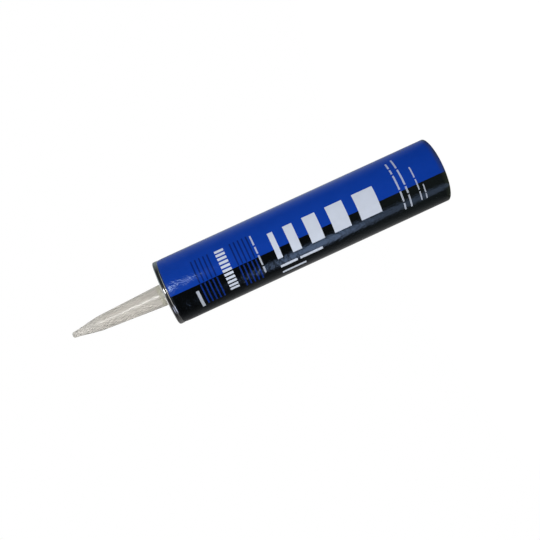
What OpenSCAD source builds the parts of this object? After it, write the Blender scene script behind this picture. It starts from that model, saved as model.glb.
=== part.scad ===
// Sealant cartridge: a spiral-wound board tube with a printed label, a tinplate front end
// seamed over its neck, a moulded nozzle trapped by its flange, and a plunger in the bore.
// It stands on its open rear edge. Z = 0 is that edge, and the nozzle points up +Z.

/* [Tube] */
// Bore of the board tube
tube_bore = 46.8; // [40:0.1:60]
// Thickness of the wound board
board_wall = 0.85; // [0.6:0.05:1.5]
// Rear edge to the top of the metal rim
cartridge_len = 215.9; // [150:0.1:320]
// Height over which the tube is necked in below the rim
neck_taper_h = 1.1; // [0.6:0.1:3]
// How far the neck is pressed in all round
neck_depth = 0.45; // [0.15:0.05:0.6]

/* [Label] */
// Thickness of the printed paper
label_t = 0.15; // [0.1:0.01:0.3]
// Thickness of a coat of ink
ink_t = 0.02; // [0.01:0.01:0.05]
// Angle of the edge between the two fields, from the front line
field_edge_a = -8.5; // [-40:0.5:40]
// Number of upright bars
bar_count = 5; // [3:1:7]
// Width of the narrowest bar
bar_w = 4; // [2:0.5:8]
// How much each bar is wider than the one before
bar_step = 3; // [0:0.5:4]
// Gap between bars
bar_gap = 7.8; // [3:0.1:12]
// Angle that a bar covers round the tube
bar_a = 47; // [20:1:80]
// Middle of the bars, as an angle from the front line
bar_mid_a = -3; // [-20:1:20]
// Front edge of the label to the first bar
bar_from_front = 79; // [66:0.5:90]
// Number of short ticks in the strip
tick_count = 11; // [5:1:15]
// Length of a tick along the tube
tick_len = 6.8; // [3:0.1:12]
// Angle from one tick to the next
tick_pitch_a = 7; // [5:0.5:10]
// Share of the pitch that is printed
tick_fill = 0.62; // [0.3:0.01:0.8]
// Front edge of the label to the strip of ticks
tick_from_front = 40.2; // [36:0.1:44]
// Number of thin rings in each group
ring_count = 5; // [2:1:6]
// Width of a thin ring
ring_w = 1.1; // [0.5:0.1:2]
// Spacing of the thin rings
ring_pitch = 3.1; // [2.4:0.1:4]
// Angle that a thin ring covers in each field
ring_a = 40; // [20:1:60]
// Angle from the edge between the fields to the end of a ring
ring_stop_a = 1; // [0.5:0.5:5]
// Front edge of the label to the first group of rings
ring_from_front = 22; // [14:0.5:30]

/* [Metal end] */
// Thickness of the tinplate
sheet_t = 0.3; // [0.2:0.05:0.5]
// Height of the skirt outside the tube
skirt_h = 3.6; // [2.5:0.1:6]
// Height of the bead rolled into the foot of the skirt
skirt_bead_h = 1.6; // [1.4:0.1:1.7]
// How far that bead stands out
skirt_bead_out = 0.2; // [0.05:0.05:0.25]
// Gap between the tinplate and the tube
seam_gap = 0.03; // [0.01:0.01:0.1]
// Depth of the sunk panel below the rim
sink_depth = 4; // [3:0.1:8]
// Radius of the corner at the foot of the sunk wall
sink_r = 0.9; // [0.6:0.1:2]
// Radius of the sheet's other bends
bend_r = 0.5; // [0.4:0.05:0.6]
// Radius of the stiffening bead
bead_mid_r = 16.8; // [15:0.1:18.5]
// Width of the stiffening bead
bead_w = 3.4; // [2:0.1:4]
// Height of the stiffening bead
bead_h = 0.7; // [0.3:0.1:1.2]
// Width of the sloped step up to the middle
step_w = 1; // [0.5:0.1:2]
// Height of the raised middle over the panel
step_h = 1.5; // [1:0.1:3]
// Height of the turned-up edge round the nozzle
lip_h = 0.9; // [0.5:0.1:2]

/* [Nozzle] */
// Radius of the nozzle's neck
neck_r = 8; // [6:0.05:10]
// Gap between the neck and the metal edge round it
neck_gap = 0.05; // [0.02:0.01:0.2]
// Metal rim to the end of the straight neck
neck_above_rim = 4.6; // [3:0.1:10]
// Height of the two rings round the neck
neck_ring_h = 0.14; // [0.05:0.01:0.4]
// Width of a ring round the neck
neck_ring_w = 0.9; // [0.5:0.1:1.5]
// Length of the long cone
cone_len = 48.4; // [30:0.1:80]
// Radius at the front of the long cone
cone_end_r = 5.35; // [4:0.05:6]
// Length of the short cone in front of it
tip_cone_len = 13.9; // [8:0.1:25]
// Radius at the front of the short cone
tip_cone_end_r = 2.85; // [2:0.05:4]
// Length of the closed nub
nub_len = 6.4; // [4:0.1:10]
// Radius of the closed nub at its front
nub_end_r = 2.15; // [1.5:0.05:2.5]
// Step where the nub begins
nub_step = 0.12; // [0.05:0.01:0.3]
// Wall of the nozzle
nozzle_wall = 1.2; // [0.8:0.1:1.6]
// How far the flange reaches past the neck
flange_reach = 2.6; // [1.5:0.1:4]
// Thickness of the flange
flange_t = 1.3; // [0.8:0.1:2]
// Thickness of the foil seal
seal_t = 0.15; // [0.1:0.01:0.4]

/* [Plunger] */
// Rear edge of the tube to the plunger's rear edge
recess_depth = 18; // [8:0.5:40]
// Length of the plunger
plunger_len = 19.5; // [12:0.5:35]
// Wall of the plunger
plunger_wall = 1.3; // [0.8:0.1:2]
// Gap between a sealing lip and the bore
lip_gap = 0.05; // [0.02:0.01:0.1]
// Width of a sealing lip
seal_lip_w = 2.2; // [1:0.1:4]
// How far the waist lies inside the lips
waist_depth = 0.8; // [0.3:0.1:1.5]
// Number of ribs in the plunger's cup
rib_count = 8; // [4:1:12]
// Height of a rib over the cup's floor
rib_h = 6.5; // [3:0.5:9]
// Thickness of a rib
rib_t = 1.1; // [0.8:0.1:2]
// Radius of the ring in the middle of the cup
hub_r = 6.5; // [4:0.1:9]
// Gap between the sealant and what encloses it
fill_gap = 0.05; // [0.02:0.01:0.1]

/* [Hidden] */
$fn = 96;
BLUE = [0.1, 0.24, 0.58];
BLACK = [0.07, 0.08, 0.1];
// a cutter reaches this far past the face it cuts
over = 1;
// step of the arcs in a section, in degrees
arc_step = 15;

bore_r = tube_bore / 2;
board_r = bore_r + board_wall;
label_r = board_r + label_t;

// The tinplate wraps the tube's end in a channel with a round top
channel_w = board_wall + label_t + 2 * seam_gap;
rim_r = channel_w / 2 + sheet_t;
tube_len = cartridge_len - rim_r;
skirt_z = cartridge_len - skirt_h;
neck_z = skirt_z + seam_gap;
sunk_wall_r = bore_r - neck_depth - seam_gap;
panel_z = cartridge_len - sink_depth;
lip_r = neck_r + neck_gap;

// The flange is trapped under the raised middle
flange_top_z = panel_z - sheet_t + step_h;
seal_z = flange_top_z - flange_t - seal_t;
fill_top_z = min(seal_z, panel_z - sheet_t) - fill_gap;
neck_end_z = cartridge_len + neck_above_rim;
kink_z = neck_end_z + cone_len;
nub_z = kink_z + tip_cone_len;
tip_z = nub_z + nub_len;

plunger_face_z = recess_depth + plunger_len;
plunger_r = bore_r - lip_gap;
cup_r = plunger_r - waist_depth - plunger_wall;

function unit(v) = v / norm(v);

// Points of an arc round c, from angle a to angle b
function arc(c, r, a, b) =
    let (n = max(1, ceil(abs(b - a) / arc_step)))
    [for (i = [0:n]) c + r * [cos(a + (b - a) * i / n), sin(a + (b - a) * i / n)]];

// Points of the bend of radius r at b, on the way from a to c
function bend(a, b, c, r) =
    let (
        p = unit(a - b),
        q = unit(c - b),
        half = acos(p * q) / 2,
        centre = b + unit(p + q) * r / sin(half),
        first = b + p * r / tan(half) - centre,
        last = b + q * r / tan(half) - centre,
        n = max(1, ceil((180 - 2 * half) / arc_step))
    )
    [for (i = [0:n]) centre + r * unit(first * (n - i) / n + last * i / n)];

// The line through pts with every inner corner bent to radius r
function bent(pts, r) = [for (i = [1:len(pts) - 2]) each bend(pts[i - 1], pts[i], pts[i + 1], r)];

// Left-hand normal of the stretch from p to q
function normal(p, q) = [p[1] - q[1], q[0] - p[0]] / norm(q - p);

// Side line of a bent sheet whose own line is pts, at distance d to its left
function side_line(pts, d) =
    let (last = len(pts) - 1)
    [for (i = [0:last])
        let (
            m = normal(pts[max(i - 1, 0)], pts[max(i, 1)]),
            n = normal(pts[min(i, last - 1)], pts[min(i + 1, last)])
        )
        pts[i] + d * (m + n) / (1 + m * n)];

function backwards(pts) = [for (i = [len(pts) - 1:-1:0]) pts[i]];

// Closed outline of a sheet of thickness t to the left of its line
function sheet(pts, t) = concat(pts, backwards(side_line(pts, t)));

// Section of a wall of the tube's end, straight below the neck and pressed in above it
module necked_wall(inner_r, wall) {
    polygon([
        [inner_r, 0],
        [inner_r + wall, 0],
        [inner_r + wall, neck_z - neck_taper_h],
        [inner_r + wall - neck_depth, neck_z],
        [inner_r + wall - neck_depth, tube_len],
        [inner_r - neck_depth, tube_len],
        [inner_r - neck_depth, neck_z],
        [inner_r, neck_z - neck_taper_h]
    ]);
}

module tube() {
    color("tan") rotate_extrude() necked_wall(bore_r, board_wall);
}

// Half of the paper sleeve, which holds one field of colour, from angle a0 on. The front
// line faces -Y, and angles grow towards +X.
module field(a0) {
    intersection() {
        rotate_extrude() necked_wall(board_r, label_t);
        rotate([0, 0, a0 - 90]) translate([-2 * label_r, 0, -over])
            cube([4 * label_r, 2 * label_r, cartridge_len + over]);
    }
}

// A patch of ink: len mm long from dist mm behind the label's front edge, and wide from
// angle a0 to angle a1. It grows out of the paper and stands ink_t proud.
module ink(dist, len, a0, a1) {
    rotate([0, 0, a0 - 90]) rotate_extrude(angle = a1 - a0)
        translate([board_r + label_t / 2, skirt_z - dist - len])
            square([label_t / 2 + ink_t, len]);
}

function bar_width(i) = bar_w + i * bar_step;
function bar_dist(i) = i == 0 ? bar_from_front : bar_dist(i - 1) + bar_width(i - 1) + bar_gap;

// Row of plain bars that grow in width
module bars() {
    for (i = [0:bar_count - 1])
        ink(bar_dist(i), bar_width(i), bar_mid_a - bar_a / 2, bar_mid_a + bar_a / 2);
}

// Strip of short ticks across both fields
module ticks() {
    for (i = [0:tick_count - 1]) {
        a = field_edge_a + (i - (tick_count - 1) / 2) * tick_pitch_a;
        ink(tick_from_front, tick_len, a, a + tick_fill * tick_pitch_a);
    }
}

// Thin rings in two groups, one on each side of the ticks, from angle a0 to angle a1
module rings(a0, a1) {
    group_len = (ring_count - 1) * ring_pitch + ring_w;
    second = 2 * tick_from_front + tick_len - ring_from_front - group_len;
    for (start = [ring_from_front, second], i = [0:ring_count - 1])
        ink(start + i * ring_pitch, ring_w, a0, a1);
}

module label() {
    a = field_edge_a;
    color(BLUE) field(a);
    color(BLACK) field(a + 180);
    color(BLACK) rings(a + ring_stop_a, a + ring_stop_a + ring_a);
    color(BLUE) rings(a - ring_stop_a - ring_a, a - ring_stop_a);
    color("white") {
        bars();
        ticks();
    }
}

// Line of the metal end from the foot of the skirt, up its bead, over the rim, down the sunk
// wall, across the panel and its bead, and up to the turned edge round the nozzle. The tube
// is on its left.
function end_line() =
    let (
        wall_r = sunk_wall_r - sheet_t,
        rim_mid = [wall_r + rim_r, tube_len],
        foot = [rim_mid[0] + rim_r, skirt_z],
        sink_mid = [wall_r - sink_r, panel_z + sink_r],
        edge_r = lip_r + sheet_t,
        step_r = edge_r + flange_reach + step_w,
        top_z = panel_z + step_h
    )
    concat(
        [for (a = [0:2 * arc_step:360]) foot + [skirt_bead_out * (1 - cos(a)) / 2, skirt_bead_h * a / 360]],
        arc(rim_mid, rim_r, 0, 180),
        arc(sink_mid, sink_r, 0, -90),
        bent([
            [wall_r, panel_z],
            [bead_mid_r + bead_w / 2, panel_z],
            [bead_mid_r + bead_w / 5, panel_z + bead_h],
            [bead_mid_r - bead_w / 5, panel_z + bead_h],
            [bead_mid_r - bead_w / 2, panel_z],
            [step_r, panel_z],
            [step_r - step_w, top_z],
            [edge_r, top_z],
            [edge_r, top_z + lip_h]
        ], bend_r),
        [[edge_r, top_z + lip_h]]
    );

module front_end() {
    color("silver") rotate_extrude() polygon(sheet(end_line(), sheet_t));
}

// Outer line of the nozzle from its flange to the middle of its tip
function nozzle_outside() =
    let (
        ring_1 = cartridge_len + neck_above_rim / 3,
        ring_2 = cartridge_len + neck_above_rim * 0.8,
        tip_r = nub_end_r * 0.6
    )
    concat(
        [
            [neck_r + flange_reach, flange_top_z - flange_t],
            [neck_r + flange_reach, flange_top_z],
            [neck_r, flange_top_z]
        ],
        neck_ring(ring_1),
        neck_ring(ring_2),
        [
            [neck_r, neck_end_z],
            [cone_end_r, kink_z],
            [tip_cone_end_r, nub_z],
            [tip_cone_end_r - nub_step, nub_z + nub_step],
            [nub_end_r, tip_z - tip_r]
        ],
        arc([nub_end_r - tip_r, tip_z - tip_r], tip_r, arc_step, 90),
        [[0, tip_z]]
    );

function neck_ring(z) = [
    [neck_r, z - neck_ring_w / 2],
    [neck_r + neck_ring_h, z - neck_ring_w / 4],
    [neck_r + neck_ring_h, z + neck_ring_w / 4],
    [neck_r, z + neck_ring_w / 2]
];

// Inner line from the middle of the closed tip back to the flange
function nozzle_inside() = [
    [0, nub_z],
    [tip_cone_end_r - nozzle_wall, nub_z - nozzle_wall],
    [cone_end_r - nozzle_wall, kink_z],
    [neck_r - nozzle_wall, neck_end_z],
    [neck_r - nozzle_wall, flange_top_z - flange_t]
];

module nozzle() {
    color("ivory") rotate_extrude() polygon(concat(nozzle_outside(), nozzle_inside()));
}

module inner_seal() {
    color("gainsboro") translate([0, 0, seal_z]) cylinder(h = seal_t, r = neck_r + flange_reach);
}

// The sealant fills the bore from the plunger to the metal end
module sealant() {
    fill_r = bore_r - fill_gap;
    shoulder_z = min(neck_z - neck_taper_h, fill_top_z - neck_depth);
    color("dimgray") rotate_extrude() polygon([
        [0, plunger_face_z],
        [fill_r, plunger_face_z],
        [fill_r, shoulder_z],
        [fill_r - neck_depth, fill_top_z],
        [0, fill_top_z]
    ]);
}

// Section of the plunger: a cup open at the rear, with a sealing lip at each end
module plunger_section() {
    waist_r = plunger_r - waist_depth;
    rear_z = recess_depth;
    face_z = plunger_face_z;
    polygon([
        [cup_r, rear_z],
        [plunger_r - waist_depth / 2, rear_z],
        [plunger_r, rear_z + waist_depth / 2],
        [plunger_r, rear_z + seal_lip_w],
        [waist_r, rear_z + seal_lip_w + waist_depth],
        [waist_r, face_z - seal_lip_w - 2 * waist_depth],
        [plunger_r, face_z - seal_lip_w - waist_depth],
        [plunger_r, face_z - waist_depth],
        [plunger_r - waist_depth, face_z],
        [0, face_z],
        [0, face_z - plunger_wall],
        [cup_r, face_z - plunger_wall]
    ]);
}

module plunger() {
    floor_z = plunger_face_z - plunger_wall;
    color("whitesmoke") {
        rotate_extrude() plunger_section();
        // ribs from the ring in the middle to the wall
        for (i = [0:rib_count - 1]) rotate([0, 0, i * 360 / rib_count])
            translate([hub_r - rib_t / 2, -rib_t / 2, floor_z - rib_h])
                cube([cup_r - hub_r + rib_t, rib_t, rib_h + plunger_wall / 2]);
        translate([0, 0, floor_z - rib_h]) difference() {
            cylinder(h = rib_h + plunger_wall / 2, r = hub_r);
            translate([0, 0, -over]) cylinder(h = rib_h + over, r = hub_r - rib_t);
        }
    }
}

tube();
label();
front_end();
nozzle();
inner_seal();
sealant();
plunger();
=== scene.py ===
import math

import bmesh
import bpy
from mathutils import Matrix, Quaternion, Vector, noise


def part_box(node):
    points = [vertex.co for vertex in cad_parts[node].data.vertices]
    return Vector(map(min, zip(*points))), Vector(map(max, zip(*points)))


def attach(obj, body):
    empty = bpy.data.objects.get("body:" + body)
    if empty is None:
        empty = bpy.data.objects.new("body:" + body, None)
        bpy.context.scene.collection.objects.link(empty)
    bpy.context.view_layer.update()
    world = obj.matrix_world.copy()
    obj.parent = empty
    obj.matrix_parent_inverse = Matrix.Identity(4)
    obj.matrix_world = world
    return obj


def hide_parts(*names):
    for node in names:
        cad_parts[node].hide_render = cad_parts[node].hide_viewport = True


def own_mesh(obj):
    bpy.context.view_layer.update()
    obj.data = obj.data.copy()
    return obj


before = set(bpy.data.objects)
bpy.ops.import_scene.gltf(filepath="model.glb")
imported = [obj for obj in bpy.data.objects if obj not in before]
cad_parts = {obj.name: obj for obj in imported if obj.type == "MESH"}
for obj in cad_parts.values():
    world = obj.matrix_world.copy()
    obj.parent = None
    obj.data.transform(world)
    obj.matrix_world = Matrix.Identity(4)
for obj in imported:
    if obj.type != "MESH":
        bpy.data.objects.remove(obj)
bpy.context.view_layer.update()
print("frame loaded")

mm = 0.001  # lengths below are in millimetres until a mesh is made


# Mesh helpers

def roundCorners(points, radius, steps=6):
    # Every inner corner of the line becomes a short arc
    line = [points[0]]
    for before, corner, after in zip(points, points[1:], points[2:]):
        b = Vector(corner)
        p = (Vector(before) - b).normalized()
        q = (Vector(after) - b).normalized()
        half = p.angle(q) / 2
        centre = b + (p + q).normalized() * radius / math.sin(half)
        first = b + p * radius / math.tan(half) - centre
        last = b + q * radius / math.tan(half) - centre
        for i in range(steps + 1):
            spoke = first.lerp(last, i / steps).normalized() * radius
            line.append(tuple(centre + spoke))
    line.append(points[-1])
    return line


def arcLine(centre, radius, fromDeg, toDeg, steps):
    turns = [math.radians(fromDeg + (toDeg - fromDeg) * i / steps) for i in range(steps + 1)]
    return [(centre[0] + radius * math.cos(t), centre[1] + radius * math.sin(t)) for t in turns]


def sideLine(line, distance):
    # The same line, moved to its left
    pts = [Vector(p) for p in line]
    moved = []
    for i, p in enumerate(pts):
        normals = []
        for a, b in ((i - 1, i), (i, i + 1)):
            if a >= 0 and b < len(pts):
                d = (pts[b] - pts[a]).normalized()
                normals.append(Vector((-d.y, d.x)))
        both = sum(normals, Vector((0, 0))) / len(normals)
        moved.append(tuple(p + both * distance / both.length_squared))
    return moved


def finishMesh(name, bm, sharpDeg):
    bmesh.ops.recalc_face_normals(bm, faces=bm.faces)
    mesh = bpy.data.meshes.new(name)
    bm.to_mesh(mesh)
    bm.free()
    for face in mesh.polygons:
        face.use_smooth = True
    mesh.set_sharp_from_angle(angle=math.radians(sharpDeg))
    piece = bpy.data.objects.new(name, mesh)
    bpy.context.scene.collection.objects.link(piece)
    return piece


def lathe(name, outline, segments, sharpDeg=35):
    # Turns a closed outline of (radius, height) about Z
    bm = bmesh.new()
    angles = [2 * math.pi * i / segments for i in range(segments)]
    rows = []
    for r, z in outline:
        if r < 1e-6:
            rows.append([bm.verts.new((0, 0, z * mm))])
        else:
            rows.append([bm.verts.new((r * math.cos(a) * mm, r * math.sin(a) * mm, z * mm)) for a in angles])
    for low, high in zip(rows, rows[1:] + rows[:1]):
        if len(low) == 1 and len(high) == 1:
            continue
        for i in range(segments):
            j = (i + 1) % segments
            if len(low) == 1:
                bm.faces.new((low[0], high[i], high[j]))
            elif len(high) == 1:
                bm.faces.new((low[i], high[0], low[j]))
            else:
                bm.faces.new((low[i], high[i], high[j], low[j]))
    return finishMesh(name, bm, sharpDeg)


# Node helpers

def fillSockets(tree, node, values):
    # A value may be a number, a colour or another node's socket
    for key, value in values.items():
        socket = node.inputs[key]
        if isinstance(value, bpy.types.NodeSocket):
            tree.links.new(value, socket)
        elif socket.type == "RGBA":
            socket.default_value = (*value, 1.0)
        else:
            socket.default_value = value


def addNode(tree, kind, inputs=None, **settings):
    node = tree.nodes.new(kind)
    for key, value in settings.items():
        setattr(node, key, value)
    fillSockets(tree, node, inputs or {})
    return node


def treeOf(values):
    # The node tree of the first socket among the values
    return next(v.id_data for v in values if isinstance(v, bpy.types.NodeSocket))


def calc(operation, *values, clamp=False):
    inputs = dict(enumerate(values))
    return addNode(treeOf(values), "ShaderNodeMath", inputs, operation=operation, use_clamp=clamp).outputs[0]


def plus(a, b, clamp=False):
    return calc("ADD", a, b, clamp=clamp)


def minus(a, b, clamp=False):
    return calc("SUBTRACT", a, b, clamp=clamp)


def times(a, b, clamp=False):
    return calc("MULTIPLY", a, b, clamp=clamp)


def over(a, b, clamp=False):
    return calc("DIVIDE", a, b, clamp=clamp)


def timesPlus(a, b, c):
    return calc("MULTIPLY_ADD", a, b, c)


def mixColour(factor, a, b, blend="MIX"):
    inputs = {0: factor, 6: a, 7: b}
    tree = treeOf(inputs.values())
    return addNode(tree, "ShaderNodeMix", inputs, data_type="RGBA", blend_type=blend).outputs[2]


def brightness(colour, level):
    return mixColour(1.0, colour, level, "MULTIPLY")


def noiseFrom(place, scale=1.0, detail=2.0, rough=0.5):
    return addNode(place.id_data, "ShaderNodeTexNoise", {
        "Vector": place, "Scale": scale, "Detail": detail, "Roughness": rough}).outputs["Fac"]


def splitVector(vector):
    return addNode(vector.id_data, "ShaderNodeSeparateXYZ", {0: vector}).outputs


def newGroup(name, inputs, outputs):
    tree = bpy.data.node_groups.new(name, "ShaderNodeTree")
    for label, default in inputs.items():
        kind = "NodeSocketVector" if default is None else "NodeSocketFloat"
        socket = tree.interface.new_socket(label, in_out="INPUT", socket_type=kind)
        if default is not None:
            socket.default_value = default
    for label in outputs:
        tree.interface.new_socket(label, in_out="OUTPUT", socket_type="NodeSocketFloat")
    return tree, tree.nodes.new("NodeGroupInput").outputs, tree.nodes.new("NodeGroupOutput")


def useGroup(tree, group, inputs=None):
    return addNode(tree, "ShaderNodeGroup", inputs, node_tree=group)


def newMaterial(name):
    material = bpy.data.materials.new(name)
    material.use_nodes = True
    tree = material.node_tree
    return material, tree, tree.nodes["Principled BSDF"]


def addBump(tree, shader, height, distance):
    bump = addNode(tree, "ShaderNodeBump", {"Height": height, "Distance": distance})
    tree.links.new(bump.outputs["Normal"], shader.inputs["Normal"])


# Shared shader groups

def makeTubeCoordinates():
    # Height in mm, angle in degrees from the front line towards +X, radius in mm
    tree, _, out = newGroup("tubeCoordinates", {}, ["Height", "Angle", "Radius"])
    place = addNode(tree, "ShaderNodeTexCoord").outputs["Object"]
    x, y, z = splitVector(place)
    radius = calc("SQRT", plus(times(x, x), times(y, y)))
    fillSockets(tree, out, {
        "Height": over(z, mm),
        "Angle": calc("DEGREES", calc("ARCTAN2", x, times(y, -1.0))),
        "Radius": over(radius, mm),
    })
    return tree


def makeStrip():
    # 1 between From and To, with an edge Soft wide
    tree, given, out = newGroup("strip", {"Value": 0.0, "From": 0.0, "To": 1.0, "Soft": 0.1}, ["Mask"])
    inside = calc("MINIMUM", minus(given["Value"], given["From"]), minus(given["To"], given["Value"]))
    edge = over(inside, given["Soft"])
    fillSockets(tree, out, {"Mask": plus(edge, 0.5, clamp=True)})
    return tree


def makeRepeatedStrip(strip):
    # Count strips, each Width wide and a Pitch apart, from Start on
    values = {"Value": 0.0, "Start": 0.0, "Pitch": 3.0, "Width": 1.0, "Count": 5.0, "Soft": 0.1}
    tree, given, out = newGroup("repeatedStrip", values, ["Mask"])
    run = minus(given["Value"], given["Start"])
    half = times(minus(given["Pitch"], given["Width"]), 0.5)
    shifted = plus(run, half)
    cell = minus(calc("FLOORED_MODULO", shifted, given["Pitch"]), half)
    one = useGroup(tree, strip, {"Value": cell, "From": 0.0, "To": given["Width"], "Soft": given["Soft"]})
    total = times(given["Pitch"], given["Count"])
    span = useGroup(tree, strip, {"Value": shifted, "From": 0.0, "To": total, "Soft": given["Soft"]})
    fillSockets(tree, out, {"Mask": times(one.outputs[0], span.outputs[0])})
    return tree


def makeSpiralSeam():
    # A line that climbs Lead in one turn. Mask fades out Width away from it, and Side steps up across it.
    values = {"Height": 0.0, "Angle": 0.0, "Lead": 100.0, "Start": 0.0, "Width": 1.0}
    tree, given, out = newGroup("spiralSeam", values, ["Mask", "Side"])
    climb = times(given["Angle"], over(given["Lead"], 360.0))
    run = minus(minus(given["Height"], climb), given["Start"])
    half = times(given["Lead"], 0.5)
    wrapped = calc("FLOORED_MODULO", plus(run, half), given["Lead"])
    far = over(minus(wrapped, half), given["Width"])
    near = minus(1.0, calc("ABSOLUTE", far), clamp=True)
    fillSockets(tree, out, {"Mask": times(near, near), "Side": plus(far, 0.5, clamp=True)})
    return tree


def makeTooth():
    # Fine tooth and broad mottling of a sheet or skin, as noise of so many features a metre
    tree, given, out = newGroup("tooth", {"Fine": 3000.0, "Broad": 150.0}, ["Tooth", "Mottle"])
    place = addNode(tree, "ShaderNodeTexCoord").outputs["Object"]
    fillSockets(tree, out, {
        "Tooth": noiseFrom(place, given["Fine"], 4.0, 0.6),
        "Mottle": noiseFrom(place, given["Broad"], 3.0, 0.55),
    })
    return tree


def makeTurnedRings():
    # Fine rings round the axis, about a Pitch apart along a radius or a height
    tree, given, out = newGroup("turnedRings", {"Run": 0.0, "Pitch": 0.3}, ["Rings"])
    along = addNode(tree, "ShaderNodeCombineXYZ", {0: over(given["Run"], given["Pitch"])})
    fillSockets(tree, out, {"Rings": noiseFrom(along.outputs[0])})
    return tree


def makeCrinkle():
    # Small creases that run slantwise round a tube, about Along long and Across wide, in mm
    values = {"Height": 0.0, "Angle": 0.0, "Radius": 24.4, "Slant": 50.0, "Along": 4.0, "Across": 1.3}
    tree, given, out = newGroup("crinkle", values, ["Crinkle"])
    arc = times(calc("RADIANS", given["Angle"]), given["Radius"])
    slant = calc("RADIANS", given["Slant"])
    c, s = calc("COSINE", slant), calc("SINE", slant)
    along = plus(times(given["Height"], c), times(arc, s))
    across = minus(times(arc, c), times(given["Height"], s))
    place = addNode(tree, "ShaderNodeCombineXYZ", {
        0: over(along, given["Along"]), 1: over(across, given["Across"])})
    fillSockets(tree, out, {"Crinkle": noiseFrom(place.outputs[0], rough=0.45)})
    return tree


tubeCoordinates = makeTubeCoordinates()
strip = makeStrip()
repeatedStrip = makeRepeatedStrip(strip)
spiralSeam = makeSpiralSeam()
tooth = makeTooth()
turnedRings = makeTurnedRings()
crinkle = makeCrinkle()
print("shader groups made")


def stripMask(value, low, high, soft):
    return useGroup(value.id_data, strip, {"Value": value, "From": low, "To": high, "Soft": soft}).outputs[0]


def riseMask(value, start, soft):
    # 0 below start and 1 above it, with an edge soft wide
    return plus(over(minus(value, start), soft), 0.5, clamp=True)


def fadeMask(value, reach):
    # 1 where the value is 0 or less, and 0 from reach on
    return minus(1.0, over(value, reach), clamp=True)


def eitherOf(masks):
    joined = masks[0]
    for mask in masks[1:]:
        joined = calc("MAXIMUM", joined, mask)
    return joined


def mottledRoughness(skin, f):
    return timesPlus(skin["Mottle"], f["roughSpread"], f["roughness"])


# Camera, turned so that the standing cartridge lies across the picture

camera = {
    "place": (0.0, -574.5, 165.9),
    "target": (-15.93, 0.0, 140.6),
    "roll": -114.77,
    "lens": 52.68,
    "sensor": 36.0,
    "clip": (0.01, 20.0),  # in metres
}


def makeCamera(c):
    data = bpy.data.cameras.new("camera")
    data.sensor_width = c["sensor"]
    data.lens = c["lens"]
    data.clip_start, data.clip_end = c["clip"]
    eye = bpy.data.objects.new("camera", data)
    eye.location = Vector(c["place"]) * mm
    eye.rotation_mode = "QUATERNION"
    aim = (Vector(c["target"]) - Vector(c["place"])).to_track_quat("-Z", "Y")
    eye.rotation_quaternion = aim @ Quaternion((0, 0, 1), math.radians(c["roll"]))
    bpy.context.scene.collection.objects.link(eye)
    bpy.context.scene.camera = eye


makeCamera(camera)
print("camera made")


# Board tube

tubeValues = {
    "wall": 0.85,
    "edgeRound": 0.12,
    "neckDepth": 0.45,
    "neckTaper": 1.1,
    "fall": 0.2,  # how far the wall has come in where the neck starts, and over what length
    "fallReach": 5.0,
    "fallSteps": 6,
    "skirt": 3.6,  # how far the metal end comes down outside the neck
    "seamGap": 0.03,  # between the metal end and what it is folded round
    "plyLead": 109.5,  # how far the board's seam climbs in one turn, and its height on the front line
    "plyStart": 104.1,
    "segments": 256,
}

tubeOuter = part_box("tube")[1].x / mm
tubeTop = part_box("tube")[1].z / mm
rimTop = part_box("front_end")[1].z / mm
bore = tubeOuter - tubeValues["wall"]
skirtFoot = rimTop - tubeValues["skirt"]
neckZ = skirtFoot + tubeValues["seamGap"]
neckStart = neckZ - tubeValues["neckTaper"]
fallHeights = [neckStart - tubeValues["fallReach"] * (1 - i / tubeValues["fallSteps"])
               for i in range(tubeValues["fallSteps"] + 1)]


def wallFall(z):
    # How far the outside has come in at a height: slightly before the neck, then steeply into it
    v = tubeValues
    if z <= neckStart:
        return v["fall"] * max(0.0, 1 - (neckStart - z) / v["fallReach"]) ** 2
    k = min(1.0, (z - neckStart) / v["neckTaper"])
    return v["fall"] + (v["neckDepth"] - v["fall"]) * (3 - 2 * k) * k * k


def neckedWall(inner, outer, edge):
    v = tubeValues
    outside = [(outer - edge, 0), (outer, edge)]
    outside += [(outer - wallFall(z), z) for z in fallHeights + [neckZ, tubeTop]]
    inside = [(inner - v["neckDepth"], tubeTop), (inner - v["neckDepth"], neckZ), (inner, neckStart),
              (inner, edge), (inner + edge, 0)]
    return outside + inside


def makeTube():
    v = tubeValues
    piece = lathe("boardTube", neckedWall(bore, tubeOuter, v["edgeRound"]), v["segments"])
    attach(piece, "cartridge")
    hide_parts("tube")
    return piece


boardFinish = {
    "kraft": (0.30, 0.21, 0.13),
    "kraftLight": (0.42, 0.32, 0.21),
    "plyPitch": 0.28,
    "plyShare": 0.6,  # how much of the cut edge's tone comes from its plies, and the rest from its tooth
    # the foil that lines the bore, the seam where it overlaps, and its dull patches
    "foil": (0.62, 0.62, 0.62),
    "foilSeam": (0.3, 0.3, 0.31),
    "foilDull": (0.45, 0.45, 0.45),
    "seamShare": 0.45,
    "dullShare": 0.35,
    "foilDepth": 0.06,
    "foilSoft": 0.04,
    "foilMetal": 0.9,
    "foilSmoother": 0.48,
    "foilLead": 96.0,
    "foilStart": 30.0,
    "foilWidth": 1.2,
    "seamStep": 1.5,
    "roughness": 0.85,
    "tooth": {"Fine": 2200.0, "Broad": 260.0},
    "bump": 0.04,
}


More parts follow.
